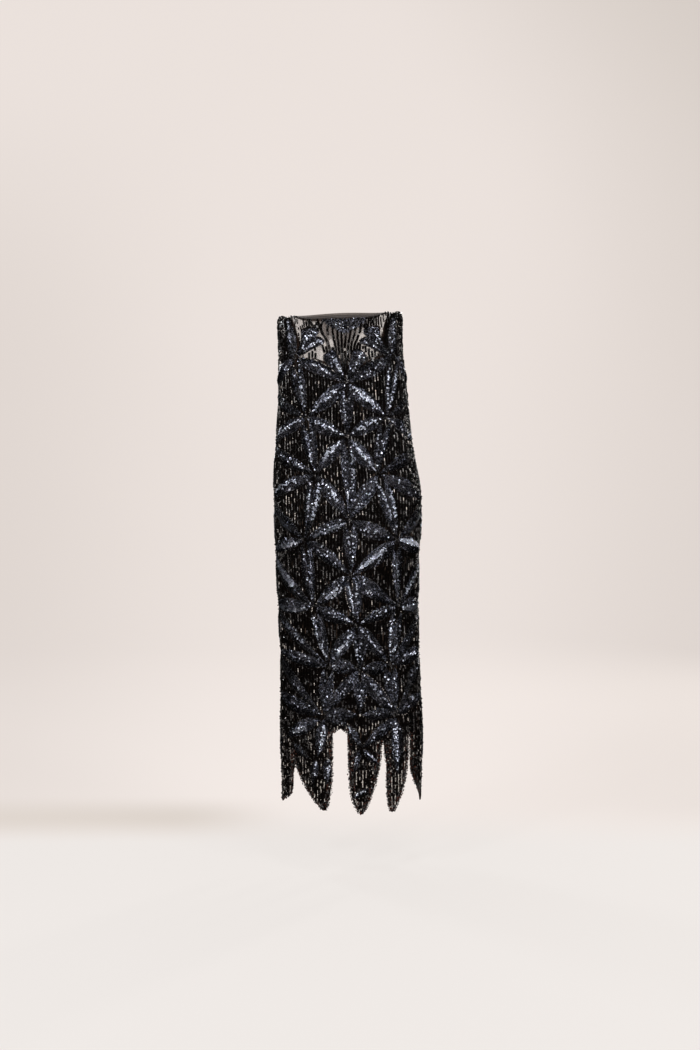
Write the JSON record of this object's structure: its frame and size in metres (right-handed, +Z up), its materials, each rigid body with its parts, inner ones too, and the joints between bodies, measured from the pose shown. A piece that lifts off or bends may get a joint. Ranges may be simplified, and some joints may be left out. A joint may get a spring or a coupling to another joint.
{
  "type": "evening gown",
  "caption": "Sleeveless straight evening gown in its worn, hollow form, with a boat neck, rolled armholes and a hem cut into pointed tongues.",
  "frame": {"origin": "midway between the two shoulder straps, at the height of their tops, where the wearer's shoulders hold the gown", "axes": "+Z up along the gown's length, -Y towards its front, +X towards the left shoulder of its wearer"},
  "size_m": [0.3344, 0.2185, 1.1179],
  "materials": {
    "tulle": "dark brown silk net, matte",
    "binding_silk": "brown silk, soft sheen",
    "beads": "black glass bugle beads and rolled seed beads, glossy",
    "sequins": "black sequins, some glossy and some matte"
  },
  "bodies": {
    "root": {"front": "tulle", "back": "tulle", "neck_binding": "binding_silk", "armhole_roll_left": "beads", "armhole_roll_right": "beads"}
  },
  "joints": []
}
